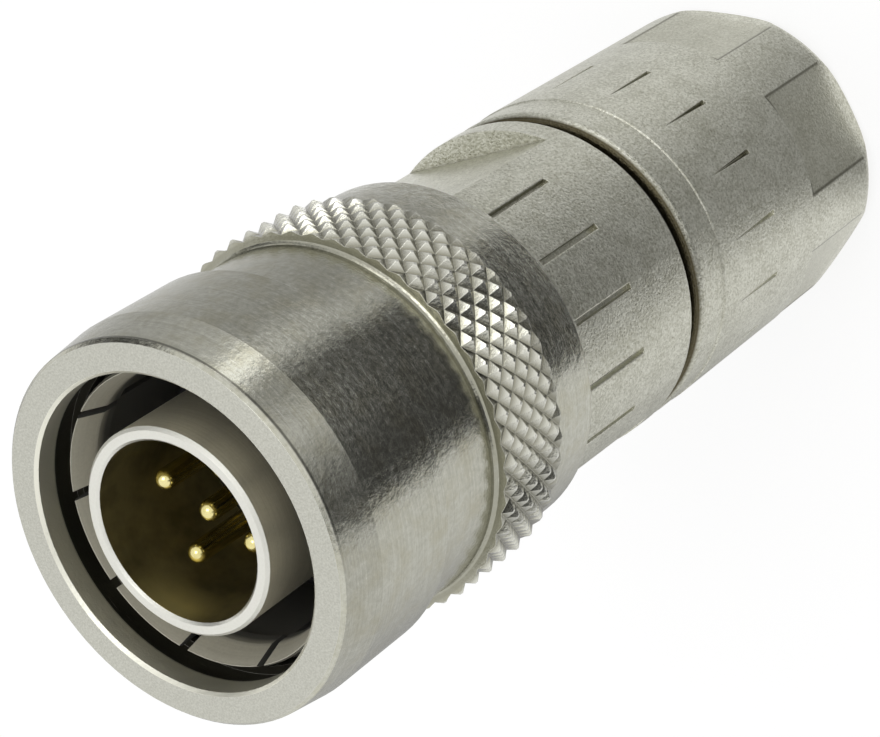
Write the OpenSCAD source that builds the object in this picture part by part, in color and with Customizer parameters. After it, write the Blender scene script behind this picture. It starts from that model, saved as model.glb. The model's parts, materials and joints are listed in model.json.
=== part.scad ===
// Push-pull circular connector for a cable: five contacts, a knurled release sleeve and a cable gland.
// The axis is Z, the mating face points up and the part stands on the cable end of its gland nut.

/* [Overall] */
// Length from the cable end to the mating face
overall_len = 50.2; // [47:0.2:54]

/* [Contacts] */
// Diameter of a contact pin
pin_d = 1; // [0.8:0.05:1.1]
// Diameter of the circle that four of the pins stand on
pin_circle_d = 5; // [4.7:0.1:5.2]
// Depth of the pin tips behind the mating face
pin_recess = 2.25; // [1.8:0.05:3]
// Length of pin that stands free of the insert
pin_free_len = 5.6; // [4.5:0.1:6]
// Width of the coding key in the shell
key_w = 1.2; // [0.8:0.1:1.6]
// Height of the coding key above the bore wall
key_h = 0.6; // [0.4:0.05:0.8]

/* [Contact shell] */
// Bore of the shell round the contacts
shell_bore_d = 8.5; // [8.3:0.1:8.8]
// Wall of the shell
shell_wall = 0.65; // [0.5:0.05:0.8]
// Depth of the shell's rim behind the mating face
shell_recess = 0.35; // [0.1:0.05:0.8]
// Thickness of the shell's flange
shell_flange_t = 1; // [0.8:0.1:1.3]
// Height of the rubber gasket on the flange
shell_seal_h = 1.2; // [0.8:0.1:1.6]

/* [Release sleeve] */
// Length of the sleeve
sleeve_len = 19.5; // [18.6:0.1:20]
// Diameter of the front cylinder
sleeve_d = 18.6; // [18.2:0.1:19]
// Diameter of the front face
face_d = 18; // [17.6:0.1:18.2]
// Length of the taper behind the front face
taper_len = 2.3; // [1.5:0.1:3.5]
// Length of the front barrel behind the mating face
barrel_len = 7.2; // [6.4:0.1:8]
// Diameter of the waist between the barrel and the grip ring
waist_d = 17.7; // [17.5:0.05:17.9]
// Bore of the mouth
mouth_d = 14.86; // [14.7:0.02:15]
// Length of the mouth's bore
lip_len = 1.2; // [0.9:0.05:1.4]
// How far the sleeve slides back
sleeve_travel = 1.8; // [1.4:0.1:2]
// Diameter of the rear collar
collar_d = 17.96; // [17.8:0.02:18.2]

/* [Grip ring] */
// Distance of the grip ring behind the mating face
knurl_start = 11.5; // [11:0.1:12]
// Width of the grip ring
knurl_len = 4.6; // [3.6:0.1:4.8]
// Diameter over the knurl's points
knurl_d = 19.16; // [19:0.02:19.6]
// Depth of the knurl
knurl_depth = 0.3; // [0.2:0.01:0.4]
// Points in one row round the ring
knurl_count = 50; // [40:1:60]
// Rows of points, counted in half steps
knurl_rows = 8; // [6:2:10]
// Turn of the points against the coding key, in degrees
knurl_turn = 3.1; // [0:0.1:7]
// Flat on a point, as a share of the way down to the next valley
knurl_land = 0.16; // [0.08:0.02:0.3]
// How much lower the points stand at the two ends of the ring
knurl_bevel = 0.14; // [0.05:0.01:0.18]
// Radius of the hollow corner in front of the grip ring
root_round = 0.28; // [0.15:0.01:0.32]

/* [Latch collet] */
// Slots between the fingers
finger_slots = 10; // [6:2:14]
// Width of a slot
finger_slot_w = 0.45; // [0.3:0.05:0.6]
// Gap between the mouth's lip and the finger tips
tip_gap = 0.53; // [0.4:0.01:0.7]
// Radius inside the finger hooks
hook_r = 6.6; // [6.5:0.02:6.7]
// Thickness of a finger
finger_t = 0.35; // [0.3:0.01:0.4]
// Length of the collet
collet_len = 10.27; // [9.9:0.05:10.6]
// Height of the collet's base ring
base_h = 2; // [1.8:0.05:2.4]

/* [Spring] */
// Wire of the release spring
wire_d = 0.7; // [0.5:0.05:0.8]
// Length of the release spring in place
spring_len = 4.6; // [4.2:0.1:4.9]
// Turns of the release spring
spring_turns = 4; // [3.5:0.25:4.5]
// Thickness of the retaining ring
ring_t = 0.8; // [0.6:0.05:0.9]

/* [Housing] */
// Diameter of the housing under the sleeve's collar
housing_front_d = 16.76; // [16.6:0.02:16.84]
// Diameter of the housing at its rear edge
housing_rear_d = 17.26; // [17:0.02:17.5]
// Grip slots in each of the two groups
body_slots = 5; // [3:2:5]
// Angle between two grip slots
body_slot_step = 22; // [18:0.2:23]
// Length of a grip slot
body_slot_len = 4.8; // [3.5:0.1:5.2]
// Distance of a grip slot from the housing's rear edge
body_slot_back = 4.7; // [4:0.1:5.4]
// Width of a grip slot
body_slot_w = 0.3; // [0.24:0.02:0.5]
// Depth of a grip slot
body_slot_depth = 0.26; // [0.2:0.02:0.4]
// Turn of the grip slots against the coding key, in degrees
body_slot_turn = -0.9; // [-2:0.1:2]
// Distance from the axis to a wrench flat
body_flat_r = 7.36; // [7:0.02:7.8]
// Distance of a wrench flat from the housing's rear edge
body_flat_back = 1.55; // [1.2:0.05:2.4]
// Length of a wrench flat
body_flat_len = 8.4; // [6:0.1:8.6]
// Direction that a wrench flat faces against the coding key, in degrees
body_flat_turn = 87.4; // [86:0.2:94]

/* [Gland nut] */
// Length of the nut
nut_len = 19.8; // [18:0.1:20.4]
// Diameter of the nut
nut_d = 17.4; // [17.32:0.02:17.8]
// Radius of the nut's rear edge
nut_rear_round = 1.26; // [0.6:0.02:1.4]
// Diameter of the band at the nut's front
nut_band_d = 17.28; // [17.1:0.02:17.3]
// Length of the band at the nut's front
nut_band_len = 2.4; // [1.6:0.1:3]
// Radius of the nut's front edge
nut_edge_r = 0.5; // [0.3:0.05:0.55]
// Gap between the nut and the housing
nut_gap = 0.7; // [0.4:0.05:1]
// Size across the nut's wrench flats
nut_af = 16.35; // [15.9:0.05:16.5]
// Length of the nut's wrench flats
nut_flat_len = 7.45; // [5:0.05:7.8]
// Grip slots round the nut
nut_slots = 16; // [10:1:18]
// Length of a grip slot in the nut
nut_slot_len = 4.1; // [2.5:0.1:4.4]
// Distance of the deep end of a grip slot from the cable end
nut_slot_back = 11.6; // [10:0.1:12]
// Width of the deep end of a grip slot in the nut
nut_slot_w = 0.28; // [0.2:0.02:0.5]
// Depth of the deep end of a grip slot in the nut
nut_slot_depth = 0.32; // [0.2:0.02:0.5]
// Turn of the nut's wrench flats against the housing, in degrees
nut_turn = 6.2; // [0:0.1:60]
// Turn of the nut's grip slots against the housing, in degrees
nut_slot_turn = 5.9; // [0:0.1:22]
// Diameter of the thread between the nut and the housing
gland_thread_d = 15; // [14.8:0.05:15.1]
// Diameter of the cable entry
entry_d = 8.4; // [7:0.1:9]
// Bore of the cable seal
cable_d = 6.5; // [5.5:0.1:7.5]

/* [Clearances] */
// Sliding clearance of the sleeve on the fixed parts, on the radius
sleeve_clear = 0.15; // [0.1:0.01:0.2]
// Clearance of the collet's bumps under the sleeve's land, on the radius
land_clear = 0.12; // [0.08:0.01:0.18]
// Running clearance of the nut's thread and of the clamping cage, on the radius
run_clear = 0.05; // [0.02:0.01:0.09]
// Clearance of the nut's cone over the clamping cage
cone_clear = 0.1; // [0.06:0.01:0.2]

/* [Hidden] */
$fn = 96;
eps = 0.01;
face_z = overall_len;

// Latch collet and what it sets
lip_z = face_z - lip_len;
tip_z = lip_z - tip_gap;
bump_top_z = lip_z - sleeve_travel - 0.05;
bump_len = sleeve_travel - 0.1;
bump_bot_z = bump_top_z - bump_len;
groove_z = bump_top_z + 0.1;
base_bot_z = tip_z - collet_len;
base_top_z = base_bot_z + base_h;
web_t = base_h - 0.4;
web_top_z = base_bot_z + web_t;
tip_r = mouth_d / 2 - 0.41;
finger_in_r = hook_r + 0.25;
finger_out_r = finger_in_r + finger_t;
bump_r = finger_out_r + 0.3;
land_r = bump_r + land_clear;
base_r = bump_r + 0.45;
chamber_r = base_r + sleeve_clear;
groove_r = land_r + 0.43;

// Sleeve, retaining ring and spring
sleeve_rear_z = face_z - sleeve_len;
knurl_top_z = face_z - knurl_start;
knurl_bot_z = knurl_top_z - knurl_len;
barrel_z = face_z - barrel_len;
waist_r = waist_d / 2;
knurl_low_r = knurl_d / 2 - knurl_depth;
land_end_z = base_top_z + sleeve_travel + 0.2;
ring_bot_z = base_bot_z - ring_t;
ring_out_r = chamber_r + 0.4;
ring_in_r = base_r - 1.05;
shoulder_z = ring_bot_z - spring_len;
collar_bore_r = housing_front_d / 2 + sleeve_clear + 0.02;
collar_step_z = shoulder_z + sleeve_travel + 0.3;
spring_r = ring_in_r + 0.1 + wire_d / 2;

// Contact shell, insert and pins
shell_bore_r = shell_bore_d / 2;
shell_r = shell_bore_r + shell_wall;
shell_top_z = face_z - shell_recess;
root_r = shell_r + 0.2;
flange_top_z = web_top_z + shell_flange_t;
seal_top_z = flange_top_z + shell_seal_h;
stud_r = shell_bore_r + 1.25;
stud_len = 4;
stud_end_z = base_bot_z - stud_len;
insert_step_z = web_top_z + 0.8;
insert_r = shell_bore_r + 0.45;
retainer_t = 1.5;
insert_end_z = stud_end_z + retainer_t;
insert_top_z = face_z - pin_recess - pin_free_len;
seal_in_r = 0.45;
insert_groove_back = 1.4;
insert_groove_z = insert_step_z - insert_groove_back;
pin_tip_z = face_z - pin_recess;
pin_r = pin_d / 2;
pin_shank_r = pin_r + 0.2;
pin_rib_r = pin_shank_r + 0.2;
pin_rib_top_z = insert_step_z;
pin_rib_len = 1;
cup_r = pin_r + 0.25;
cup_len = 4;

// Housing
neck_r = ring_in_r - 0.3;
oring_seat_z = stud_end_z - 2 * seal_in_r;
housing_rear_z = nut_len + nut_gap;
slot_lip = 0.05;
housing_front_r = housing_front_d / 2;
housing_rear_r = housing_rear_d / 2;
seat_r = stud_r - 2 * seal_in_r;
seat_len = 1.2;
seat_bevel = 0.8;
chamber_in_r = stud_r;
gland_r = gland_thread_d / 2;
gland_groove_r = gland_r - 0.45;
gland_oring_r = 0.45;
gland_stud_len = 7.3;
stud_rear_z = nut_len - gland_stud_len;
cage_seat_depth = 1.7;
cage_seat_z = nut_len - cage_seat_depth;
cage_guide_r = gland_r - 1.1;

// Gland nut, cage and seal
nut_r = nut_d / 2;
nut_band_r = nut_band_d / 2;
nut_thread_r = gland_r + run_clear;
nut_counter_r = gland_groove_r + 2 * gland_oring_r + run_clear;
nut_counter_len = 2.6;
shield_t = 0.8;
cage_top_z = cage_seat_z - shield_t;
cage_r = cage_guide_r - run_clear;
cage_wall = 1.7;
cage_in_r = cage_r - cage_wall;
cage_cone_len = 3;
cage_bot_z = 6.2;
cage_tip_r = cage_r - 1;
cage_lip = 0.7;
cage_slot_w = 0.8;
cage_slot_len = 5.5;
seal_inset = 0.4;
nut_floor_gap = 1.6;
nut_floor_z = cage_bot_z - nut_floor_gap;
nut_thread_end_z = stud_rear_z - 1.2;
nut_cone_r = cage_r + cone_clear;
nut_cone_tip_r = cage_tip_r + cone_clear;
entry_r = entry_d / 2;

// Points of an arc about (cr, cz), from angle a to angle b
function arc(cr, cz, r, a, b, n) =
    [for (i = [0 : n]) let (t = a + (b - a) * i / n) [cr + r * cos(t), cz + r * sin(t)]];

// Radius of the housing's cone at height z
function housing_r(z) = housing_rear_r
    + (housing_front_r - housing_rear_r) * (z - housing_rear_z) / (shoulder_z - housing_rear_z);

// Height of the spring's centre line at turn t, with one closed turn at each end
function coil_z(t) =
    let (rise = wire_d * 1.02, mid = spring_len - wire_d - 2 * rise, turns = spring_turns - 2)
    t < 1 ? rise * t : t > 1 + turns ? rise + mid + rise * (t - 1 - turns) : rise + mid * (t - 1) / turns;

// Ring of blunt pyramids: points and valleys alternate round each row, and change places from row to row
module knurl() {
    n = 2 * knurl_count;
    m = knurl_rows;
    low = knurl_low_r;
    step = 360 / n;
    rise = knurl_len / m;
    end = function (j) j == 0 || j == m;
    size = function (j) end(j) ? 4 : 5;
    start = function (j) j == 0 ? 0 : knurl_count * (4 + 5 * (j - 1));
    place = function (r, k, z) [r * cos(step * k + knurl_turn), r * sin(step * k + knurl_turn), z];
    // Corners of a point's flat: right, upper, left and lower, or right, inner and left at the two ends
    flat = function (j, k)
        let (r = knurl_d / 2 - (end(j) ? knurl_bevel : 0), z = knurl_bot_z + rise * j, c = knurl_land)
        let (inner = place(r, k, z + (j == m ? -1 : 1) * rise * c))
        concat([place(r, k + c, z), inner, place(r, k - c, z)], end(j) ? [] : [place(r, k, z - rise * c)]);
    valley = function (j, k) [place(low, k, knurl_bot_z + rise * j)];
    outer = [for (j = [0 : m]) for (k = [0 : n - 1])
        for (q = (j + k) % 2 == 0 ? flat(j, k) : valley(j, k)) q];
    at = function (j, k) let (w = k % n) start(j) + size(j) * floor(w / 2)
        + (w % 2 == 0 ? 0 : j % 2 == 0 ? size(j) - 1 : 1);
    right = function (j, k) at(j, k);
    upper = function (j, k) at(j, k) + 1;
    left = function (j, k) at(j, k) + 2;
    lower = function (j, k) at(j, k) + (j == m ? 1 : 3);
    sides = [for (j = [0 : m - 1]) for (k = [0 : n - 1]) for (f = (j + k) % 2 == 0 ? [
        [upper(j, k), at(j + 1, k), at(j, k + 1)],
        [upper(j, k), at(j, k + 1), right(j, k)],
        [at(j + 1, k), left(j + 1, k + 1), lower(j + 1, k + 1)],
        [at(j + 1, k), lower(j + 1, k + 1), at(j, k + 1)]
    ] : [
        [at(j, k), at(j + 1, k + 1), upper(j, k + 1)],
        [at(j, k), upper(j, k + 1), left(j, k + 1)],
        [at(j, k), lower(j + 1, k), right(j + 1, k)],
        [at(j, k), right(j + 1, k), at(j + 1, k + 1)]
    ]) f];
    tops = [for (j = [0 : m]) for (k = [j % 2 : 2 : n - 1])
        for (f = j == 0 ? [[upper(j, k), right(j, k), left(j, k)]]
            : j == m ? [[left(j, k), right(j, k), lower(j, k)]]
            : [[upper(j, k), right(j, k), lower(j, k)], [upper(j, k), lower(j, k), left(j, k)]]) f];
    ring = function (j) [for (k = [0 : 2 : n - 1]) for (i = [left(j, k), right(j, k), at(j, k + 1)]) i];
    bot = ring(0);
    top = ring(m);
    base = len(outer);
    axis = [[0, 0, knurl_bot_z], [0, 0, knurl_top_z]];
    count = len(bot);
    caps = [for (i = [0 : count - 1]) let (h = (i + 1) % count)
        for (f = [[bot[i], bot[h], base], [top[h], top[i], base + 1]]) f];
    polyhedron(points = concat(outer, axis), faces = concat(sides, tops, caps));
}

// Turned sleeve with the knurled ring
module release_sleeve() {
    r = sleeve_d / 2;
    f = face_d / 2;
    color([0.72, 0.71, 0.68])
    difference() {
        union() {
            rotate_extrude()
            polygon(concat(
                [[0, face_z], [f - 0.17, face_z], [f, face_z - 0.18], [r, face_z - taper_len]],
                [[r, barrel_z + 0.12], [r - 0.12, barrel_z], [waist_r, barrel_z]],
                arc(waist_r + root_round, knurl_top_z + root_round - 0.02, root_round, 180, 270, 4),
                [[waist_r, knurl_top_z - 0.4], [waist_r, knurl_bot_z + 0.2]],
                [[collar_d / 2, knurl_bot_z + 0.1], [collar_d / 2, sleeve_rear_z + 0.12]],
                [[collar_d / 2 - 0.12, sleeve_rear_z]],
                [[0, sleeve_rear_z]]
            ));
            knurl();
        }
        rotate_extrude()
        polygon(concat(
            [[0, face_z + eps], [mouth_d / 2 + 0.15 + eps, face_z + eps], [mouth_d / 2, face_z - 0.15]],
            [[mouth_d / 2, lip_z], [groove_r, lip_z], [groove_r, groove_z], [land_r, groove_z]],
            [[land_r, land_end_z], [chamber_r, land_end_z], [chamber_r, base_bot_z]],
            [[ring_out_r, base_bot_z], [ring_out_r, ring_bot_z], [chamber_r, ring_bot_z]],
            [[chamber_r, collar_step_z]],
            [[collar_bore_r, collar_step_z], [collar_bore_r, sleeve_rear_z + 0.1]],
            [[collar_bore_r + 0.1 + eps, sleeve_rear_z - eps], [0, sleeve_rear_z - eps]]
        ));
    }
}

// Snap ring in the sleeve, the sleeve's forward stop and the spring's seat
module retaining_ring() {
    color([0.55, 0.55, 0.56])
    difference() {
        translate([0, 0, ring_bot_z])
        cylinder(r = ring_out_r, h = ring_t);
        translate([0, 0, ring_bot_z - eps])
        cylinder(r = ring_in_r, h = ring_t + 2 * eps);
        translate([0, -0.7, ring_bot_z - eps])
        cube([ring_out_r + 1, 1.4, ring_t + 2 * eps]);
    }
}

// Coil spring between the housing's shoulder and the retaining ring
module release_spring() {
    m = 8;
    steps = ceil(spring_turns * 28);
    pts = [for (i = [0 : steps]) for (k = [0 : m - 1])
        let (t = spring_turns * i / steps, a = 360 * t, b = 360 * (k + 0.5) / m, w = wire_d / 2)
        let (r = spring_r + w * cos(b), z = w * sin(b) / cos(180 / m))
        [r * cos(a), r * sin(a), shoulder_z + w + coil_z(t) + z]];
    walls = [for (i = [0 : steps - 1]) for (k = [0 : m - 1]) for (h = [0, 1])
        let (p = i * m + k, q = i * m + (k + 1) % m, r = (i + 1) * m + (k + 1) % m, s = (i + 1) * m + k)
        h == 0 ? [p, q, s] : [q, r, s]];
    first = [[for (k = [0 : m - 1]) m - 1 - k]];
    last = [[for (k = [0 : m - 1]) steps * m + k]];
    color([0.6, 0.6, 0.6])
    polyhedron(points = pts, faces = concat(walls, first, last));
}

// Collet of spring fingers with hooks inside and bumps outside
module latch_collet() {
    color([0.7, 0.7, 0.68])
    difference() {
        rotate_extrude()
        polygon([
            [tip_r - 0.03, tip_z], [tip_r, tip_z], [finger_out_r - 0.08, tip_z - 0.17],
            [finger_out_r - 0.08, bump_top_z], [bump_r, bump_top_z - 0.3], [bump_r, bump_bot_z + 0.35],
            [finger_out_r, bump_bot_z], [finger_out_r, base_top_z],
            [base_r, base_top_z], [base_r, base_bot_z],
            [stud_r, base_bot_z], [stud_r, web_top_z], [finger_in_r, web_top_z],
            [finger_in_r, bump_bot_z + 0.6], [hook_r, bump_bot_z + 0.9], [hook_r, tip_z - 1.34]
        ]);
        for (i = [0 : finger_slots - 1])
            rotate([0, 0, 90 + 360 * i / finger_slots])
            translate([hook_r - 0.5, -finger_slot_w / 2, base_top_z + 0.6])
            cube([bump_r - hook_r + 1, finger_slot_w, tip_z - base_top_z]);
    }
}

// Shell round the contacts, with its flange and stud
module contact_shell() {
    color([0.62, 0.58, 0.52])
    rotate_extrude()
    polygon([
        [shell_bore_r, shell_top_z - 0.12], [shell_bore_r + 0.12, shell_top_z],
        [shell_r - 0.15, shell_top_z],
        [shell_r, shell_top_z - 0.15], [shell_r, seal_top_z], [root_r, seal_top_z], [root_r, flange_top_z],
        [finger_in_r, flange_top_z], [finger_in_r, web_top_z],
        [stud_r, web_top_z], [stud_r, stud_end_z], [insert_r, stud_end_z], [insert_r, insert_step_z],
        [shell_bore_r, insert_step_z]
    ]);
}

// Rubber gasket round the root of the shell
module shell_seal() {
    out_r = finger_in_r - 0.25;
    color([0.06, 0.06, 0.07])
    rotate_extrude()
    polygon([
        [root_r, flange_top_z], [out_r, flange_top_z], [out_r, seal_top_z - 0.4], [out_r - 0.4, seal_top_z],
        [root_r, seal_top_z]
    ]);
}

// Centres of the five contacts
pin_at = concat([for (i = [0 : 3]) pin_circle_d / 2 * [cos(135 - 90 * i), sin(135 - 90 * i)]], [[0, 0]]);

// Insulating body that holds the contacts
module contact_insert() {
    color([0.08, 0.07, 0.06])
    difference() {
        rotate_extrude()
        polygon([
            [0, insert_end_z], [insert_r, insert_end_z], [insert_r, insert_groove_z - 2 * seal_in_r],
            [insert_r - 2 * seal_in_r, insert_groove_z - 2 * seal_in_r],
            [insert_r - 2 * seal_in_r, insert_groove_z], [insert_r, insert_groove_z],
            [insert_r, insert_step_z], [shell_bore_r, insert_step_z], [shell_bore_r, insert_top_z],
            [0, insert_top_z]
        ]);
        for (p = pin_at) {
            translate([p[0], p[1], insert_end_z - eps])
            cylinder(r = pin_shank_r, h = insert_top_z - insert_end_z + 2 * eps);
            translate([p[0], p[1], pin_rib_top_z - pin_rib_len])
            cylinder(r = pin_rib_r, h = pin_rib_len);
        }
    }
}

// Coding key, seated on the insert's face along the wall of the contact shell
module coding_key() {
    key_len = pin_free_len - 0.5;
    color([0.08, 0.07, 0.06])
    translate([0, 0, insert_top_z])
    intersection() {
        translate([shell_bore_r - key_h, -key_w / 2, 0])
        cube([key_h + 1, key_w, key_len]);
        cylinder(r = shell_bore_r, h = key_len);
    }
}

// Turned contact with a round tip, a holding rib and a solder cup
module contact_pin(i) {
    color([0.85, 0.65, 0.28])
    translate([pin_at[i][0], pin_at[i][1], 0])
    difference() {
        union() {
            translate([0, 0, insert_end_z])
            cylinder(r = pin_shank_r, h = insert_top_z - insert_end_z);
            translate([0, 0, insert_top_z - eps])
            cylinder(r = pin_r, h = pin_tip_z - pin_r - insert_top_z + eps);
            translate([0, 0, pin_tip_z - pin_r])
            sphere(r = pin_r);
            translate([0, 0, pin_rib_top_z - pin_rib_len])
            cylinder(r = pin_rib_r, h = pin_rib_len);
            translate([0, 0, insert_end_z - cup_len])
            cylinder(r = cup_r, h = cup_len);
        }
        translate([0, 0, insert_end_z - cup_len - eps])
        cylinder(r = cup_r - 0.22, h = cup_len * 0.8);
    }
}

// Round sealing ring
module oring(mean_r, section_r, z) {
    color([0.05, 0.05, 0.05])
    translate([0, 0, z])
    rotate_extrude()
    translate([mean_r, 0])
    circle(r = section_r, $fn = 32);
}

// Seal of the insert in the shell
module insert_oring() {
    oring(insert_r - seal_in_r, seal_in_r, insert_groove_z - seal_in_r);
}

// Seal of the shell's stud in the housing
module housing_oring() {
    oring(stud_r - seal_in_r, seal_in_r, oring_seat_z + seal_in_r);
}

// Seal between the gland nut and the housing
module gland_oring() {
    oring(gland_groove_r + gland_oring_r, gland_oring_r, nut_len);
}

// Ring behind the insert
module insert_retainer() {
    color([0.68, 0.6, 0.42])
    difference() {
        translate([0, 0, stud_end_z])
        cylinder(r = insert_r, h = retainer_t);
        translate([0, 0, stud_end_z - eps])
        cylinder(r = pin_circle_d / 2 + cup_r + 0.4, h = retainer_t + 2 * eps);
    }
}

// One grip slot: a cutter with sloping sides that runs from its tail, at its own depth, to a square head
module grip_slot(tail_z, tail_r, tail_depth, head_z, head_r, head_depth, w, floor_w, lip) {
    len = tail_z - head_z;
    rise = tail_r - tail_depth - head_r + head_depth;
    over = head_depth + rise;
    flare = (w - floor_w) / 2 / head_depth;
    half = [
        [-head_depth, floor_w / 2], [-lip / 2, w / 2 - flare * lip / 2],
        [0, w / 2 + lip], [over, w / 2 + lip + flare * over]
    ];
    translate([head_r, 0, head_z])
    rotate([0, atan(rise / len), 0])
    linear_extrude(height = len)
    polygon(concat(half, [for (i = [3 : -1 : 0]) [half[i][0], -half[i][1]]]));
}

// Die-cast housing with wrench flats, grip slots, the front neck and the gland stud
module housing() {
    top_r = housing_r(shoulder_z);
    head_z = housing_rear_z + body_slot_back;
    tail_z = head_z + body_slot_len;
    step_z = housing_rear_z + body_flat_back;
    color([0.7, 0.69, 0.65])
    difference() {
        rotate_extrude()
        polygon(concat(
            [[stud_r, base_bot_z], [neck_r, base_bot_z], [neck_r, shoulder_z], [top_r - 0.15, shoulder_z]],
            [[housing_r(shoulder_z - 0.15), shoulder_z - 0.15]],
            arc(housing_rear_r - 0.3, housing_rear_z + 0.3, 0.3, 0, -90, 4),
            [[gland_groove_r, housing_rear_z], [gland_groove_r, nut_len - gland_oring_r]],
            [[gland_r - 0.1, nut_len - gland_oring_r]],
            [[gland_r, nut_len - 0.7], [gland_r, stud_rear_z + 0.4], [gland_r - 0.4, stud_rear_z]],
            [[cage_guide_r, stud_rear_z], [cage_guide_r, cage_seat_z], [chamber_in_r, cage_seat_z]],
            [[chamber_in_r, oring_seat_z - seat_len - seat_bevel], [seat_r, oring_seat_z - seat_len]],
            [[seat_r, oring_seat_z], [stud_r, oring_seat_z]]
        ));
        for (side = [0, 180])
            rotate([0, 0, side]) {
                for (i = [0 : body_slots - 1])
                    rotate([0, 0, body_slot_turn + (i - (body_slots - 1) / 2) * body_slot_step])
                    grip_slot(
                        tail_z, housing_r(tail_z), body_slot_depth,
                        head_z, housing_r(head_z), body_slot_depth,
                        body_slot_w, 0.8 * body_slot_w, slot_lip
                    );
                rotate([0, 0, body_flat_turn])
                translate([body_flat_r, -housing_rear_d / 2, step_z])
                cube([housing_rear_d, housing_rear_d, body_flat_len]);
            }
    }
}

// Metal seat for the cable's braid
module shield_ring() {
    color([0.72, 0.68, 0.55])
    rotate_extrude()
    polygon([
        [cage_in_r - 0.6, cage_top_z + 0.3], [cage_in_r, cage_top_z], [cage_guide_r, cage_top_z],
        [cage_guide_r, cage_seat_z], [cage_in_r - 0.6, cage_seat_z]
    ]);
}

// Slotted clamping cage round the cable seal
module clamp_cage() {
    color([0.3, 0.3, 0.32])
    difference() {
        rotate_extrude()
        polygon([
            [cage_in_r, cage_bot_z], [cage_tip_r, cage_bot_z], [cage_r, cage_bot_z + cage_cone_len],
            [cage_r, cage_top_z], [cage_in_r - 0.4, cage_top_z], [cage_in_r - 0.4, cage_top_z - cage_lip],
            [cage_in_r, cage_top_z - cage_lip]
        ]);
        for (i = [0 : 3])
            rotate([0, 0, 45 * i])
            translate([-cage_r - eps, -cage_slot_w / 2, cage_bot_z - eps])
            cube([2 * cage_r + 2 * eps, cage_slot_w, cage_slot_len + eps]);
    }
}

// Rubber sleeve round the cable
module cable_seal() {
    color([0.05, 0.05, 0.05])
    difference() {
        translate([0, 0, cage_bot_z + seal_inset])
        cylinder(r = cage_in_r, h = cage_top_z - cage_lip - cage_bot_z - seal_inset);
        translate([0, 0, cage_bot_z])
        cylinder(r = cable_d / 2, h = cage_top_z - cage_bot_z);
    }
}

// Cable nut with its band, grip slots, wrench flats, thread bore and cone
module gland_nut() {
    head_z = nut_slot_back;
    tail_z = head_z + nut_slot_len;
    band_z = nut_len - nut_band_len;
    color([0.7, 0.69, 0.65])
    difference() {
        rotate_extrude()
        polygon(concat(
            [[entry_r, 0.3], [entry_r + 0.3, 0]],
            arc(nut_r - nut_rear_round, nut_rear_round, nut_rear_round, -90, 0, 8),
            [[nut_r, band_z - 0.08], [nut_band_r, band_z]],
            arc(nut_band_r - nut_edge_r, nut_len - nut_edge_r, nut_edge_r, 0, 90, 6),
            [[nut_counter_r, nut_len], [nut_counter_r, nut_len - nut_counter_len]],
            [[nut_thread_r, nut_len - nut_counter_len], [nut_thread_r, nut_thread_end_z]],
            [[nut_cone_r, nut_thread_end_z], [nut_cone_r, cage_bot_z + cage_cone_len]],
            [[nut_cone_tip_r, cage_bot_z], [nut_cone_tip_r, nut_floor_z], [entry_r, nut_floor_z]]
        ));
        for (i = [0 : 5])
            rotate([0, 0, nut_turn + 60 * i])
            translate([nut_af / 2, -nut_d / 2, -eps])
            cube([nut_d, nut_d, nut_flat_len + eps]);
        for (i = [0 : nut_slots - 1])
            rotate([0, 0, nut_slot_turn + 120 + 360 * i / nut_slots])
            grip_slot(
                tail_z, nut_r, 0,
                head_z, nut_r, nut_slot_depth,
                nut_slot_w, 0.2 * nut_slot_w, 0
            );
    }
}

release_sleeve();
retaining_ring();
release_spring();
latch_collet();
contact_shell();
shell_seal();
contact_insert();
coding_key();
contact_pin(0);  // contact_pin_1
contact_pin(1);  // contact_pin_2
contact_pin(2);  // contact_pin_3
contact_pin(3);  // contact_pin_4
contact_pin(4);  // contact_pin_5
insert_oring();
insert_retainer();
housing();
housing_oring();
shield_ring();
clamp_cage();
cable_seal();
gland_nut();
gland_oring();
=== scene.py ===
"""Looks, floor, light and camera of a push-pull circular cable connector, built round its frame."""
import json
import math

import bpy
from mathutils import Matrix, Vector

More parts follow.
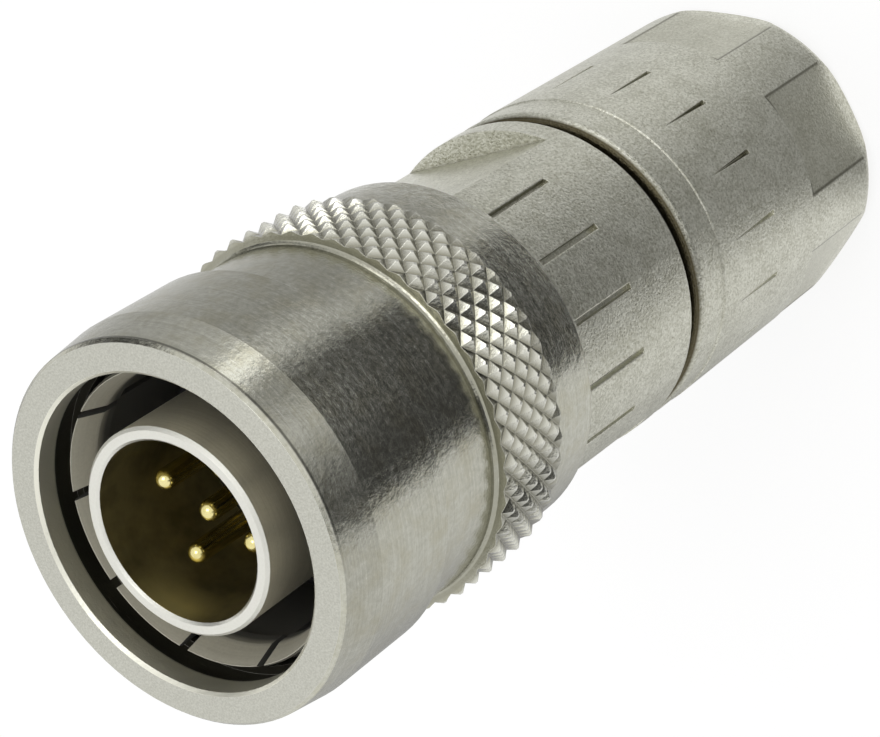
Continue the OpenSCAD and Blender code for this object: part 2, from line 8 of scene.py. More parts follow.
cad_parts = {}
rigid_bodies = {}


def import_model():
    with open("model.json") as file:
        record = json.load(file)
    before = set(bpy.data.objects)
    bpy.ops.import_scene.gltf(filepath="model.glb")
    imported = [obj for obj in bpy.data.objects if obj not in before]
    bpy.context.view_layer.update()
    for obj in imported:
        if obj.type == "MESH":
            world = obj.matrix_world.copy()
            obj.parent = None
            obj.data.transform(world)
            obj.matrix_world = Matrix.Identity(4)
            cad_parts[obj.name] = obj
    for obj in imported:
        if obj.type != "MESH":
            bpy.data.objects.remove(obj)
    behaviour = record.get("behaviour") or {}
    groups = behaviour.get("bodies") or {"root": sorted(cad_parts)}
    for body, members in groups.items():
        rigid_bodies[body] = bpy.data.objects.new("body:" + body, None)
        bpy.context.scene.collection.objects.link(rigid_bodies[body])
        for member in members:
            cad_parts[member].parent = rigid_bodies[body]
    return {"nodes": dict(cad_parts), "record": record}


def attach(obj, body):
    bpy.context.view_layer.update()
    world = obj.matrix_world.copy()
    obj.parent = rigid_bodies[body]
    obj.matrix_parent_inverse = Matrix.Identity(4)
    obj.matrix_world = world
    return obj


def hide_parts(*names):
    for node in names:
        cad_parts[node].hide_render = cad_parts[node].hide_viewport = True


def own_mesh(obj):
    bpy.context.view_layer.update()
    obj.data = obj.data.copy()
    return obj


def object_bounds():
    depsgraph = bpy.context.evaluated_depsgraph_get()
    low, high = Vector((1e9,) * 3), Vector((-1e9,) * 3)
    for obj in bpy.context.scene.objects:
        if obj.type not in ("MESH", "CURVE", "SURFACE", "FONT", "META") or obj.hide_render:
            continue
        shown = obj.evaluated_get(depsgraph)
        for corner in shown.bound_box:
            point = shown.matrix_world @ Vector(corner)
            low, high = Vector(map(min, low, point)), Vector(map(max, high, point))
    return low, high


for old in list(bpy.data.objects):
    bpy.data.objects.remove(old, do_unlink=True)
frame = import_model()
cad_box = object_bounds()
scene = bpy.context.scene
nodes = frame["nodes"]

MM = 0.001
TOP = cad_box[1][2] / MM  # height of the front face, in millimetres

# Bands behind the front face, in millimetres: near end and far end
# A painted dark reflection lies on the outer chamfer of the front face, in the next band.
LIP_REFLECTION = (0.17, 0.3)
# The hollow corner in the next band gets a painted shade.
CORNER = (11.12, 11.53)  # hollow corner in front of the knurl
# The forward-facing face in the next band gets a painted shade, because the barrel shades it.
KNURL_END = (11.3, 11.8)  # front end of the knurl
KNURL = (11.53, 16.2)
HOUSING_SLOTS = (19.6, 29.2)
# In the next band lies a painted shade, in the gap between the housing and the nut.
NUT_GAP = (30.2, 31.2)
NUT_SLOTS = (32.5, 40.0)
NUT_FLATS = (TOP - 7.45, 48.9)

# Ramps, in millimetres: where a look starts and where it is full.
# S runs back from the front face, R out from the axis, X and Y along the part's own axes.
FACE_S = (0.2, 0.1)
# The next two ramps bound the painted dark reflection on the chamfer of the front face. It fades out
# towards negative Y, so it runs round one side only.
LIP_REFLECTION_R = (8.3, 8.4)
LIP_REFLECTION_Y = (-3.0, 1.5)
# The next ramp lays painted light on the inner wall of the mouth, paler so that it looks lit.
MOUTH_R = (8.3, 8.2)
# The next ramp starts the painted shade in the undercut behind the lip.
GROOVE_S = (1.1, 1.3)
# The next ramp lays painted shade in the valleys of the knurl.
VALLEY_R = (9.48, 9.31)
TIP_R = (9.51, 9.57)
# The next ramp lays painted shade in the hollow corner in front of the knurl.
CORNER_R = (9.32, 9.22)
NUT_GAP_R = (8.58, 8.46)
# The next ramp turns the painted colour in the slots from painted light on the side of negative Y to
# painted shade on the other side.
SLOT_SHADE_Y = (-1.6, 0.6)
# From this depth on, the fingers get a painted shade.
FINGER_DEEP_S = (2.9, 3.5)
SHELL_RIM_S = (1.2, 1.0)
SHELL_BORE_R = (4.5, 4.4)
# The next three ramps place a painted reflection: a bright brass patch on one side of the bore near
# its mouth.
BORE_REFLECTION_X = (-0.6, -2.2)
BORE_REFLECTION_Y = (-1.4, -3.2)
BORE_REFLECTION_S = (2.8, 1.2)

# Wrench flats of the nut, in millimetres
NUT_R = 8.7
NUT_FLAT_R = 8.175  # from the axis to a flat
FLAT_R = (NUT_R - 0.01, NUT_R - 0.03)  # ramp from the round wall to the flats
# The next two ramps lay a painted shadow along the wrench flats: a dark line on their long sides and
# at their front ends.
FLAT_SHADOW_R = (NUT_R - 0.08, NUT_R - 0.05)  # ramp to the dark line along their long sides
FLAT_SHADOW_STEP = (0.22, 0.1)  # ramp to the dark line along their front ends
# The painted shadow at a flat's front end reaches back this far for each millimetre that the flat
# sinks, like the shadow of the shoulder under light from above.
FLAT_END_SLOPE = 1.1  # how far a flat's front end runs back for each millimetre that it sinks


def clear_tree(owner):
    """Empty node tree of a material or of the world."""
    owner.use_nodes = True
    owner.node_tree.nodes.clear()
    return owner.node_tree


# Camera
def add_camera():
    """A long lens above the mating face, which points down and to the left in the picture."""
    right = Vector((0.738495, -0.378717, -0.557852))
    up = Vector((0.174202, 0.906433, -0.384752))
    back = Vector((0.651367, 0.186959, 0.735369))
    place = Vector((79.109, 22.083, TOP + 69.418)) * MM
    data = bpy.data.cameras.new("camera")
    data.sensor_fit = "HORIZONTAL"
    data.sensor_width = 36.0
    data.lens = 104.02
    data.clip_start = 0.005
    data.clip_end = 20.0
    cam = bpy.data.objects.new("camera", data)
    turn = Matrix((right, up, back)).transposed().to_4x4()
    cam.matrix_world = Matrix.Translation(place) @ turn
    scene.collection.objects.link(cam)
    scene.camera = cam


# Node helper
class Look:
    """One procedural material, built from short calls. Lengths in it are millimetres."""

    def __init__(self, name):
        self.mat = bpy.data.materials.new(name)
        self.tree = clear_tree(self.mat)
        self.out = self.add("ShaderNodeOutputMaterial")
        coords = self.add("ShaderNodeTexCoord")
        place = self.add("ShaderNodeVectorMath", operation="SCALE")
        self.put(coords.outputs["Object"], place.inputs[0])
        place.inputs["Scale"].default_value = 1 / MM
        self.p = place.outputs["Vector"]
        self.x, self.y, self.z = self.split(self.p)
        self.facing = self.split(coords.outputs["Normal"])
        square = self.plus(self.times(self.x, self.x), self.times(self.y, self.y))
        self.r = self.math("SQRT", square)  # distance from the axis
        self.s = self.minus(TOP, self.z)  # distance behind the front face

    def add(self, kind, **settings):
        node = self.tree.nodes.new(kind)
        for key, value in settings.items():
            setattr(node, key, value)
        return node

    def put(self, value, socket):
        """Links an output, or sets a number or a colour; None leaves the socket as it is."""
        if isinstance(value, bpy.types.NodeSocket):
            self.tree.links.new(value, socket)
        elif value is not None:
            socket.default_value = value

    def math(self, op, a, b=None, clamp=False):
        node = self.add("ShaderNodeMath", operation=op, use_clamp=clamp)
        self.put(a, node.inputs[0])
        self.put(b, node.inputs[1])
        return node.outputs[0]

    def times(self, a, b):
        return self.math("MULTIPLY", a, b)

    def plus(self, a, b):
        return self.math("ADD", a, b)

    def minus(self, a, b, clamp=False):
        return self.math("SUBTRACT", a, b, clamp)

    def larger(self, a, b):
        return self.math("MAXIMUM", a, b)

    def weigh(self, a, share_a, b, share_b):
        """Sum of two values, each times its share."""
        return self.plus(self.times(a, share_a), self.times(b, share_b))

    def split(self, vector):
        node = self.add("ShaderNodeSeparateXYZ")
        self.put(vector, node.inputs[0])
        return node.outputs

    def join(self, x, y, z):
        node = self.add("ShaderNodeCombineXYZ")
        for value, socket in zip((x, y, z), node.inputs):
            self.put(value, socket)
        return node.outputs[0]

    def noise(self, vector, per_mm, detail, rough=0.6):
        node = self.add("ShaderNodeTexNoise")
        self.put(vector, node.inputs["Vector"])
        node.inputs["Scale"].default_value = per_mm
        node.inputs["Detail"].default_value = detail
        node.inputs["Roughness"].default_value = rough
        return node.outputs["Fac"]

    def cells(self, vector, per_mm):
        node = self.add("ShaderNodeTexVoronoi")
        self.put(vector, node.inputs["Vector"])
        node.inputs["Scale"].default_value = per_mm
        return node.outputs["Distance"]

    def span(self, value, low, high, to_low=0.0, to_high=1.0):
        """Straight ramp from to_low at low to to_high at high, level outside."""
        node = self.add("ShaderNodeMapRange")
        self.put(value, node.inputs["Value"])
        node.inputs["From Min"].default_value = low
        node.inputs["From Max"].default_value = high
        node.inputs["To Min"].default_value = to_low
        node.inputs["To Max"].default_value = to_high
        return node.outputs["Result"]

    def spread(self, noise, to_low=0.0, to_high=1.0):
        """Ramp over the range that most of a noise lies in."""
        return self.span(noise, 0.3, 0.7, to_low, to_high)

    def mix(self, amount, a, b):
        """Colour a where amount is 0 and b where it is 1."""
        node = self.add("ShaderNodeMix", data_type="RGBA")
        self.put(amount, node.inputs[0])
        for value, socket in ((a, node.inputs[6]), (b, node.inputs[7])):
            self.put((*value, 1.0) if isinstance(value, tuple) else value, socket)
        return node.outputs[2]

    def tint(self, base, *coats):
        """Base under coats, laid one by one: each has a mask, its share and a colour."""
        for mask, share, colour in coats:
            base = self.mix(self.times(mask, share), base, colour)
        return base

    def blend(self, amount, a, b):
        """Number a where amount is 0 and b where it is 1."""
        node = self.add("ShaderNodeMix", data_type="FLOAT")
        for value, socket in ((amount, 0), (a, 2), (b, 3)):
            self.put(value, node.inputs[socket])
        return node.outputs[0]

    def band(self, ends, soft=0.05):
        """1 between two distances behind the front face, 0 outside."""
        near, far = ends
        start = self.span(self.s, near - soft, near + soft)
        stop = self.span(self.s, far - soft, far + soft, 1.0, 0.0)
        return self.times(start, stop)

    def upward(self, low, high):
        """1 on faces that look at the mating end."""
        return self.span(self.facing[2], low, high)

    def rounded(self, radius):
        """Normal with its edges rounded off, and how much of an edge there is."""
        bevel = self.add("ShaderNodeBevel", samples=4)
        bevel.inputs["Radius"].default_value = radius * MM
        even = self.add("ShaderNodeVectorMath", operation="DOT_PRODUCT")
        self.put(bevel.outputs[0], even.inputs[0])
        self.put(self.add("ShaderNodeNewGeometry").outputs["Normal"], even.inputs[1])
        return bevel.outputs[0], self.span(even.outputs["Value"], 0.995, 0.86)

    def nooks(self, reach):
        """1 in the open, less in slots and corners."""
        node = self.add("ShaderNodeAmbientOcclusion", samples=4, only_local=True)
        node.inputs["Distance"].default_value = reach * MM
        return node.outputs["AO"]

    def bump(self, height, depth, normal=None):
        node = self.add("ShaderNodeBump")
        node.inputs["Strength"].default_value = 1.0
        node.inputs["Distance"].default_value = depth * MM
        self.put(height, node.inputs["Height"])
        self.put(normal, node.inputs["Normal"])
        return node.outputs[0]

    def turned_lines(self, per_mm, length):
        """Fine grooves round the axis, on cylinders and on faces alike."""
        run = self.times(self.minus(self.z, self.times(self.r, 0.6)), per_mm)
        across = [self.math("DIVIDE", way, length) for way in (self.x, self.y)]
        return self.noise(self.join(*across, run), 1.0, 3.0)

    def finish(self, base, rough, normal, metallic=1.0, **sockets):
        node = self.add("ShaderNodeBsdfPrincipled")
        self.put(base, node.inputs["Base Color"])
        self.put(rough, node.inputs["Roughness"])
        self.put(normal, node.inputs["Normal"])
        node.inputs["Metallic"].default_value = metallic
        for name, number in sockets.items():
            node.inputs[name.replace("_", " ").title()].default_value = number
        self.tree.links.new(node.outputs[0], self.out.inputs["Surface"])
        return self.mat


# Materials
def nickel_turned():
    """Turned and plated sleeve: fine lines round the axis, a blasted front face, a crisp knurl."""
    dull, pale, warm = (0.45, 0.447, 0.375), (0.60, 0.597, 0.52), (0.43, 0.405, 0.285)
    mouth_painted_light, groove_painted_shade = (0.86, 0.85, 0.74), (0.07, 0.065, 0.05)
    knurl_pale, valley_painted_shade = (0.66, 0.657, 0.585), (0.25, 0.24, 0.18)
    root_painted_shade, corner_painted_shade = (0.28, 0.27, 0.205), (0.26, 0.255, 0.20)
    face_dull, face_pale = (0.48, 0.478, 0.42), (0.61, 0.608, 0.545)
    scratched, rubbed, painted_lip_reflection = (0.82, 0.81, 0.74), (0.82, 0.815, 0.75), (0.09, 0.087, 0.07)

    k = Look("nickel_turned")
    lines = k.turned_lines(per_mm=13.0, length=8.0)
    broad = k.turned_lines(per_mm=2.2, length=14.0)
    hairs = k.turned_lines(per_mm=21.0, length=2.5)
    cloud = k.noise(k.p, per_mm=0.8, detail=5.0, rough=0.62)
    mottle = k.noise(k.p, per_mm=1.7, detail=5.0, rough=0.68)
    speck = k.noise(k.p, per_mm=3.8, detail=4.0, rough=0.66)
    grain = k.noise(k.p, per_mm=11.0, detail=3.0, rough=0.65)
    edge_normal, edge = k.rounded(0.04)
    up = k.upward(0.9, 0.98)
    face = k.times(up, k.span(k.s, *FACE_S))
    knurl = k.band(KNURL, soft=0.02)
    # Painted shade: the valleys of the knurl are darkened as if in shade.
    valley = k.times(knurl, k.span(k.r, *VALLEY_R))
    tips = k.times(knurl, k.span(k.r, *TIP_R))
    # Painted reflection: a dark line on the outer chamfer of the front face, on one side of the part
    # only.
    lip_reflection = k.times(k.band(LIP_REFLECTION, soft=0.03), k.span(k.r, *LIP_REFLECTION_R))
    lip_reflection = k.times(lip_reflection, k.span(k.y, *LIP_REFLECTION_Y))
    # Painted shade in the hollow corner in front of the knurl.
    corner = k.times(k.band(CORNER), k.span(k.r, *CORNER_R))
    # Painted shade on the face in front of the knurl, which the barrel shades.
    root = k.times(up, k.band(KNURL_END))
    plain = k.times(k.minus(1.0, face), k.minus(1.0, knurl))
    scratch = k.times(k.span(hairs, 0.69, 0.75), plain)
    # Painted light: the inner wall of the mouth is given a paler colour so that it looks lit.
    mouth = k.span(k.r, *MOUTH_R)
    # Painted shade: the undercut behind the lip is coloured nearly black, as shade falls there.
    groove = k.times(mouth, k.span(k.s, *GROOVE_S))

    tone = k.weigh(lines, 0.45, speck, 0.55)
    base = k.mix(k.span(tone, 0.36, 0.64), dull, pale)
    base = k.mix(k.span(cloud, 0.45, 0.7, 0.0, 0.45), base, warm)
    base = k.tint(
        base,
        (mouth, 0.9, mouth_painted_light),
        (groove, 0.92, groove_painted_shade),
        (knurl, 0.7, knurl_pale),
        (valley, 0.8, valley_painted_shade),
        (root, 0.5, root_painted_shade),
        (corner, 0.6, corner_painted_shade),
    )
    base = k.mix(face, base, k.mix(k.span(grain, 0.35, 0.65), face_dull, face_pale))
    base = k.tint(base, (scratch, 0.6, scratched))
    worn = k.times(k.minus(edge, corner, clamp=True), 0.5)
    base = k.mix(k.larger(worn, k.times(tips, 0.6)), base, rubbed)
    base = k.tint(base, (lip_reflection, 0.75, painted_lip_reflection))

    rough = k.plus(k.spread(speck, 0.12, 0.24), k.spread(lines, -0.02, 0.04))
    for mask, level in ((mouth, 0.36), (face, 0.45), (knurl, 0.18)):
        rough = k.blend(mask, rough, level)
    height = k.weigh(lines, 0.5, broad, 0.8)
    height = k.blend(face, height, k.times(grain, 2.4))
    wear = k.times(speck, k.blend(knurl, k.times(plain, 0.4), 1.0))
    normal = k.bump(height, depth=0.004, normal=edge_normal)
    normal = k.bump(wear, depth=0.024, normal=normal)
    normal = k.bump(k.times(mottle, plain), depth=0.026, normal=normal)
    return k.finish(base, rough, normal, anisotropic=0.4, anisotropic_rotation=0.25)


def nickel_cast():
    """Die-cast and plated housing and nut: a fine satin grain that glitters."""
    dull, pale, pit_dark = (0.44, 0.435, 0.35), (0.72, 0.718, 0.63), (0.17, 0.16, 0.11)
    flat_dull, gap_painted_shade, rubbed = (0.42, 0.412, 0.31), (0.06, 0.048, 0.02), (0.80, 0.795, 0.72)
    slot_painted_light, slot_painted_shade, flat_painted_shadow = (0.86, 0.855, 0.77), (0.26, 0.25, 0.185), (0.12, 0.115, 0.08)

    k = Look("nickel_cast")
    grain = k.noise(k.p, per_mm=6.5, detail=4.0, rough=0.68)
    pits = k.cells(k.p, per_mm=7.0)
    cloud = k.noise(k.p, per_mm=0.7, detail=4.0)
    edge_normal, edge = k.rounded(0.06)
    slots = k.larger(k.band(HOUSING_SLOTS), k.band(NUT_SLOTS))
    sunk = k.times(slots, k.span(k.nooks(0.35), 0.75, 0.35))
    # Painted shade in the gap between the housing and the nut.
    gap = k.times(k.band(NUT_GAP), k.span(k.r, *NUT_GAP_R))
    flat = k.times(k.band(NUT_FLATS), k.span(k.r, *FLAT_R))
    # Painted shadow: dark lines along the long sides of the wrench flats and behind the shoulder at
    # their front ends.
    flat_shadow = k.times(flat, k.span(k.r, *FLAT_SHADOW_R))
    sink = k.math("SQRT", k.minus(NUT_R ** 2 + NUT_FLAT_R ** 2, k.times(k.r, k.r)))
    sink = k.minus(sink, NUT_FLAT_R)
    from_step = k.minus(k.minus(k.s, NUT_FLATS[0]), k.times(sink, FLAT_END_SLOPE))
    flat_shadow = k.larger(flat_shadow, k.times(flat, k.span(from_step, *FLAT_SHADOW_STEP)))

    tone = k.weigh(grain, 0.75, cloud, 0.25)
    base = k.mix(k.span(tone, 0.4, 0.6), dull, pale)
    base = k.mix(k.span(pits, 0.26, 0.1, 0.0, 0.9), base, pit_dark)
    # Painted light and shade in the slots: paler towards negative Y, darker towards positive Y,
    # strongest where the slots are most hidden.
    slot_light_and_shade = k.mix(k.span(k.y, *SLOT_SHADE_Y), slot_painted_light, slot_painted_shade)
    base = k.tint(
        base,
        (flat, 0.3, flat_dull),
        (gap, 0.94, gap_painted_shade),
        (edge, 0.6, rubbed),
        (sunk, 0.8, slot_light_and_shade),
        (flat_shadow, 0.75, flat_painted_shadow),
    )

    rough = k.plus(k.spread(grain, 0.29, 0.39), k.spread(cloud, -0.03, 0.03))
    height = k.plus(grain, k.times(pits, 0.5))
    return k.finish(base, rough, k.bump(height, depth=0.028, normal=edge_normal))


def nickel_latch():
    """Matt plated fingers with faint turning marks, and painted shade deep inside and on the sides
    of their slots.
    """
    dull, pale, rubbed = (0.56, 0.54, 0.46), (0.68, 0.66, 0.57), (0.80, 0.79, 0.71)
    deep_painted_shade = (0.10, 0.10, 0.097)

    k = Look("nickel_latch")
    lines = k.turned_lines(per_mm=9.0, length=5.0)
    grain = k.noise(k.p, per_mm=8.0, detail=3.0)
    edge_normal, edge = k.rounded(0.04)
    side = k.minus(k.times(k.x, k.facing[1]), k.times(k.y, k.facing[0]))
    side = k.math("ABSOLUTE", k.math("DIVIDE", side, k.r))
    # Painted shade deep inside the mouth and on the slot sides of the fingers.
    finger_shade = k.larger(k.span(k.s, *FINGER_DEEP_S), k.span(side, 0.6, 0.8))

    tone = k.weigh(lines, 0.5, grain, 0.5)
    base = k.mix(k.spread(tone), dull, pale)
    base = k.tint(base, (edge, 0.5, rubbed), (finger_shade, 0.92, deep_painted_shade))
    normal = k.bump(tone, depth=0.006, normal=edge_normal)
    return k.finish(base, k.spread(tone, 0.56, 0.68), normal, metallic=0.6)


def nickel_shell():
    """Satin plating over brass: a warm grey wall, a brassy bore and a bright blasted rim."""
    dull, pale, rubbed = (0.72, 0.68, 0.55), (0.86, 0.82, 0.69), (0.80, 0.79, 0.72)
    brass_dark, brass_pale = (0.20, 0.168, 0.072), (0.38, 0.32, 0.14)
    brass_painted_reflection = (0.80, 0.68, 0.28)
    rim_dull, rim_pale = (0.71, 0.706, 0.64), (0.80, 0.796, 0.74)

    k = Look("nickel_shell")
    lines = k.turned_lines(per_mm=11.0, length=6.0)
    grain = k.noise(k.p, per_mm=7.0, detail=3.0)
    cloud = k.noise(k.p, per_mm=0.45, detail=4.0)
    edge_normal, edge = k.rounded(0.05)
    rim = k.times(k.upward(0.35, 0.5), k.span(k.s, *SHELL_RIM_S))
    bore = k.span(k.r, *SHELL_BORE_R)
    # Painted reflection: a bright brass patch in the bore, on the side of negative X and Y near its
    # front.
    bore_reflection = k.times(k.span(k.y, *BORE_REFLECTION_Y), k.span(k.x, *BORE_REFLECTION_X))
    bore_reflection = k.times(bore_reflection, k.span(k.s, *BORE_REFLECTION_S))

    tone = k.weigh(lines, 0.6, grain, 0.4)
    base = k.mix(k.spread(tone), dull, pale)
    brass = k.mix(k.span(cloud, 0.35, 0.65), brass_dark, brass_pale)
    base = k.mix(bore, base, k.mix(bore_reflection, brass, brass_painted_reflection))
    base = k.mix(rim, base, k.mix(grain, rim_dull, rim_pale))
    base = k.tint(base, (edge, 0.5, rubbed))
    rough = k.blend(rim, k.spread(tone, 0.34, 0.44), 0.46)
    rough = k.blend(bore, rough, 0.3)
    height = k.blend(rim, lines, k.times(grain, 2.0))
    normal = k.bump(height, depth=0.004, normal=edge_normal)
    return k.finish(base, rough, normal, metallic=0.85)


def spring_steel():
    """Drawn wire and punched strip, oily and slightly darker."""
    dark, pale, oily = (0.22, 0.22, 0.22), (0.36, 0.36, 0.35), (0.16, 0.14, 0.11)
    k = Look("spring_steel")
    draw = k.turned_lines(per_mm=16.0, length=3.0)
    cloud = k.noise(k.p, per_mm=1.2, detail=3.0)
    base = k.mix(k.spread(draw), dark, pale)
    base = k.mix(k.span(cloud, 0.55, 0.8, 0.0, 0.5), base, oily)
    return k.finish(base, k.spread(draw, 0.24, 0.38), k.bump(draw, depth=0.004))


def contact_gold():
    """Polished gold plating with fine drawing marks along the pin."""
    dull, pale, mark_dark = (0.76, 0.67, 0.29), (0.89, 0.80, 0.40), (0.60, 0.49, 0.18)
    k = Look("contact_gold")
    at = k.join(k.times(k.x, 14.0), k.times(k.y, 14.0), k.times(k.z, 0.8))
    marks = k.noise(at, per_mm=1.0, detail=3.0)
    cloud = k.noise(k.p, per_mm=1.4, detail=3.0)
    base = k.mix(k.spread(cloud), dull, pale)
    base = k.mix(k.span(marks, 0.55, 0.75, 0.0, 0.3), base, mark_dark)
    return k.finish(base, k.spread(marks, 0.14, 0.24), k.bump(marks, depth=0.003))


def moulded(name, dark, light, rough, depth):
    """Moulded plastic with a fine spark-eroded skin and paler edges."""
    edge_light = tuple(1.8 * c for c in light)
    k = Look(name)
    skin = k.noise(k.p, per_mm=9.0, detail=3.0)
    flow = k.noise(k.p, per_mm=0.6, detail=3.0)
    edge_normal, edge = k.rounded(0.05)
    base = k.mix(k.spread(flow), dark, light)
    base = k.tint(base, (edge, 0.3, edge_light))
    normal = k.bump(skin, depth, edge_normal)
    return k.finish(base, k.spread(skin, rough - 0.08, rough + 0.08), normal, metallic=0.0)


def rubber_black():
    """Moulded rubber with a dull skin and a little dust."""
    dark, light, dusty = (0.012, 0.012, 0.014), (0.024, 0.025, 0.030), (0.075, 0.078, 0.085)
    k = Look("rubber_black")
    skin = k.noise(k.p, per_mm=6.0, detail=4.0)
    dust = k.noise(k.p, per_mm=2.2, detail=5.0, rough=0.7)
    base = k.mix(k.spread(skin), dark, light)
    base = k.mix(k.span(dust, 0.58, 0.8, 0.0, 0.35), base, dusty)
    return k.finish(base, k.spread(skin, 0.42, 0.6), k.bump(skin, depth=0.015), metallic=0.0)


def dress():
    """Gives every node the material of its slot, and returns the materials by slot."""
    looks = {
        "nickel_turned": nickel_turned(),
        "nickel_cast": nickel_cast(),
        "nickel_latch": nickel_latch(),
        "nickel_shell": nickel_shell(),
        "spring_steel": spring_steel(),
        "contact_gold": contact_gold(),
        "insert_plastic": moulded(
            "insert_plastic", (0.010, 0.009, 0.006), (0.020, 0.017, 0.012), rough=0.45, depth=0.006
        ),
        "cage_plastic": moulded(
            "cage_plastic", (0.010, 0.010, 0.011), (0.020, 0.020, 0.022), rough=0.5, depth=0.008
        ),
        "rubber_black": rubber_black(),
    }
    for row in frame["record"]["subparts"]:
        for place in nodes[row["node"]].material_slots:
            place.material = looks[row["material_slot"]]
    return looks


# Spring
def add_spring(steel):
    """Release spring: a copy of the CAD coil in spring steel, carried by the housing in place of the
    CAD node.
    """
    data = nodes["release_spring"].data.copy()
    data.materials.clear()
    data.materials.append(steel)
    spring = bpy.data.objects.new("release_coil", data)
    scene.collection.objects.link(spring)
    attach(spring, "housing")
    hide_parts("release_spring")
    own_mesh(spring)


# Floor, cards and light. Lengths are metres here, and angles are degrees.
AIM_HEIGHT = 0.03  # the flags and the lamps are set round this height on the axis
FLOOR_HALF = 1.5
CARD_LIFT = 0.3 * MM  # the card lies just above the floor
CARD_STEPS = 360
FLAG_STEPS = 12
FLAG_FADE = 0.25  # share of a flag's height that fades at its foot and at its top
FLAG_GREY = 0.06

# Greys of the floor card, as stops of azimuth and grey. 1 is the white of the floor. The card is
# seen only in reflections, so these greys are painted reflections in the metal, and above 1 they
# glow brighter than the floor.
NEAR = [
    (-180, 0.8), (-136, 0.15), (-116, 0.3), (-80, 0.75), (-36, 1.0), (-18, 0.32), (26, 0.36),
    (62, 0.8), (124, 0.85), (180, 1.1),
]
BODY = [
    (-180, 0.8), (-136, 0.2), (-116, 0.4), (-76, 1.0), (-36, 1.15), (-18, 0.62), (4, 0.58),
    (26, 0.95), (62, 1.2), (124, 1.15), (180, 1.8),
]
MIDDLE = [
    (-180, 0.9), (-165, 0.46), (-125, 0.42), (-76, 0.8), (-33, 0.85), (-27, 0.055), (48, 0.08),
    (60, 0.6), (84, 0.36), (124, 0.5), (164, 0.78), (180, 0.9),
]
FAR = [
    (-180, 0.55), (-76, 0.72), (-34, 0.7), (-27, 0.1), (-8, 0.1), (6, 0.36), (24, 0.78),
    (44, 0.36), (56, 0.5), (64, 2.3), (72, 0.75), (84, 0.62), (124, 0.48), (180, 0.55),
]
WHITE = [(-180, 1.0), (180, 1.0)]
CARD_RINGS = [  # radius in millimetres, and the stops at that radius
    (9, NEAR), (23, NEAR), (26, BODY), (28.5, BODY), (31, MIDDLE), (62, MIDDLE), (78, FAR),
    (160, FAR), (260, WHITE),
]


def white_where_seen(tree, seen, plain):
    """Shader seen for camera, glossy and transmission rays, shader plain for the light it throws."""
    path = tree.nodes.new("ShaderNodeLightPath")
    amount = path.outputs["Is Camera Ray"]
    for name in ("Is Glossy Ray", "Is Transmission Ray"):
        more = tree.nodes.new("ShaderNodeMath")
        more.operation = "MAXIMUM"
        tree.links.new(amount, more.inputs[0])
        tree.links.new(path.outputs[name], more.inputs[1])
        amount = more.outputs[0]
    mix = tree.nodes.new("ShaderNodeMixShader")
    tree.links.new(amount, mix.inputs[0])
    tree.links.new(plain, mix.inputs[1])
    tree.links.new(seen, mix.inputs[2])
    return mix.outputs[0]


def flat_mesh(name, corners, faces):
    """Piece of the stage from its corners and faces."""
    data = bpy.data.meshes.new(name)
    data.from_pydata(corners, [], faces)
    piece = bpy.data.objects.new(name, data)
    scene.collection.objects.link(piece)
    return piece


def add_floor():
    """Plain pale floor that the camera and the metal see as white, with the part's shadow."""
    half = FLOOR_HALF
    corners = [(-half, -half, 0), (half, -half, 0), (half, half, 0), (-half, half, 0)]
    floor = flat_mesh("floor", corners, [(0, 1, 2, 3)])
    mat = bpy.data.materials.new("floor_white")
    tree = clear_tree(mat)
    out = tree.nodes.new("ShaderNodeOutputMaterial")
    glow = tree.nodes.new("ShaderNodeEmission")
    glow.inputs["Strength"].default_value = 0.78
    paint = tree.nodes.new("ShaderNodeBsdfDiffuse")
    paint.inputs["Color"].default_value = (0.26, 0.26, 0.26, 1)
    both = tree.nodes.new("ShaderNodeAddShader")
    tree.links.new(glow.outputs[0], both.inputs[0])
    tree.links.new(paint.outputs[0], both.inputs[1])
    plain = tree.nodes.new("ShaderNodeBsdfDiffuse")
    plain.inputs["Color"].default_value = (0.8, 0.8, 0.79, 1)
    surface = white_where_seen(tree, both.outputs[0], plain.outputs[0])
    tree.links.new(surface, out.inputs["Surface"])
    floor.data.materials.append(mat)


def add_world():
    """Sky that is seen as white and throws a slightly weaker light."""
    world = bpy.data.worlds.new("studio")
    tree = clear_tree(world)
    out = tree.nodes.new("ShaderNodeOutputWorld")
    white = tree.nodes.new("ShaderNodeBackground")
    white.inputs["Color"].default_value = (1, 1, 1, 1)
    white.inputs["Strength"].default_value = 1.0
    soft = tree.nodes.new("ShaderNodeBackground")
    soft.inputs["Color"].default_value = (0.8, 0.8, 0.8, 1)
    surface = white_where_seen(tree, white.outputs[0], soft.outputs[0])
    tree.links.new(surface, out.inputs["Surface"])
    scene.world = world


def only_mirrored(piece, tone):
    """Gives each corner of a piece its grey, and shows the piece in glossy surfaces alone."""
    greys = piece.data.attributes.new("tone", "FLOAT", "POINT")
    greys.data.foreach_set("value", tone)
    mat = bpy.data.materials.new(piece.name)
    tree = clear_tree(mat)
    out = tree.nodes.new("ShaderNodeOutputMaterial")
    glow = tree.nodes.new("ShaderNodeEmission")
    level = tree.nodes.new("ShaderNodeAttribute")
    level.attribute_name = "tone"
    tree.links.new(level.outputs["Fac"], glow.inputs["Strength"])
    tree.links.new(glow.outputs[0], out.inputs["Surface"])
    piece.data.materials.append(mat)
    piece.visible_camera = False
    piece.visible_diffuse = False
    piece.visible_transmission = False
    piece.visible_shadow = False


def strips(steps, rows):
    """Faces of a sheet whose corners come as columns of so many rows."""
    return [
        (rows * i + j, rows * i + j + 1, rows * i + rows + j + 1, rows * i + rows + j)
        for i in range(steps) for j in range(rows - 1)
    ]


def level_at(stops, turn):
    """Grey at an azimuth, between the stops of a ring."""
    for (a, low), (b, high) in zip(stops, stops[1:]):
        if a <= turn <= b:
            return low + (high - low) * (turn - a) / (b - a)
    return 1.0


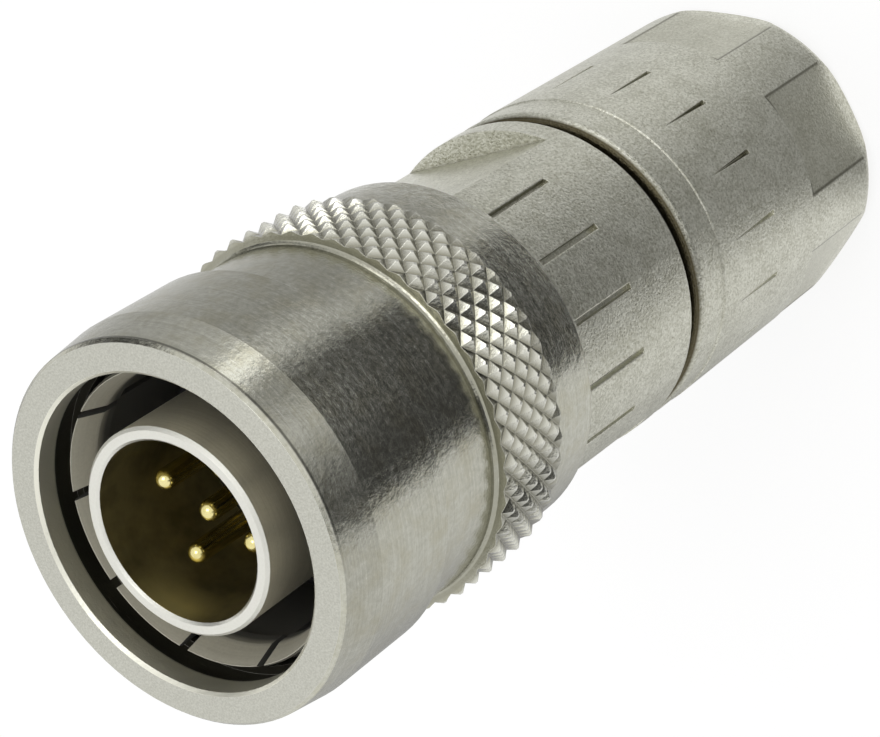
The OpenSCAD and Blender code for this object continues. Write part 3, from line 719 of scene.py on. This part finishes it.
def add_card(name, rings):
    """Graded card on the floor round the part."""
    corners, tone = [], []
    for i in range(CARD_STEPS + 1):
        degrees = -180 + 360 * i / CARD_STEPS
        turn = math.radians(degrees)
        for radius, stops in rings:
            reach = radius * MM
            corners.append((reach * math.cos(turn), reach * math.sin(turn), CARD_LIFT))
            tone.append(level_at(stops, degrees))
    only_mirrored(flat_mesh(name, corners, strips(CARD_STEPS, len(rings))), tone)


def add_flag(name, azimuth, width, low, high, reach):
    """Dark flag that stands round the part, between two elevations, with soft sides."""
    fade = FLAG_FADE * (high - low)
    rows = (low, low + fade, high - fade, high)
    corners, tone = [], []
    for i in range(FLAG_STEPS + 1):
        side = 2.0 * i / FLAG_STEPS - 1.0  # -1 and 1 at the upright sides
        turn = math.radians(azimuth + 0.5 * width * side)
        side_soft = min(1.0, max(0.0, 3.0 * abs(side) - 2.0))
        for rise in rows:
            height = AIM_HEIGHT + reach * math.tan(math.radians(rise))
            corners.append((reach * math.cos(turn), reach * math.sin(turn), height))
            soft = 1.0 if rise in (low, high) else side_soft
            tone.append(FLAG_GREY + (1.0 - FLAG_GREY) * soft)
    only_mirrored(flat_mesh(name, corners, strips(FLAG_STEPS, len(rows))), tone)


def add_softbox(name, azimuth, elevation, distance, size, level):
    """Area lamp that looks at the part and shines at the given radiance."""
    turn, rise = math.radians(azimuth), math.radians(elevation)
    level_way = math.cos(rise)
    way = Vector((math.cos(turn) * level_way, math.sin(turn) * level_way, math.sin(rise)))
    data = bpy.data.lights.new(name, "AREA")
    data.shape = "SQUARE"
    data.size = size
    data.energy = level * math.pi * size * size
    lamp = bpy.data.objects.new(name, data)
    lamp.location = Vector((0, 0, AIM_HEIGHT)) + way * distance
    lamp.rotation_euler = way.to_track_quat("Z", "Y").to_euler()
    scene.collection.objects.link(lamp)


def add_stage():
    add_floor()
    add_world()
    add_card("card_floor", CARD_RINGS)
    add_flag("flag_left", azimuth=120, width=56, low=2, high=34, reach=0.25)
    add_flag("flag_right", azimuth=-22, width=30, low=-20, high=50, reach=0.15)
    add_softbox("key", azimuth=55, elevation=68, distance=0.5, size=0.16, level=4.0)
    add_softbox("strip", azimuth=66, elevation=6, distance=0.4, size=0.11, level=3.2)


scene.view_settings.view_transform = "Standard"
add_camera()
looks = dress()
add_spring(looks["spring_steel"])
add_stage()
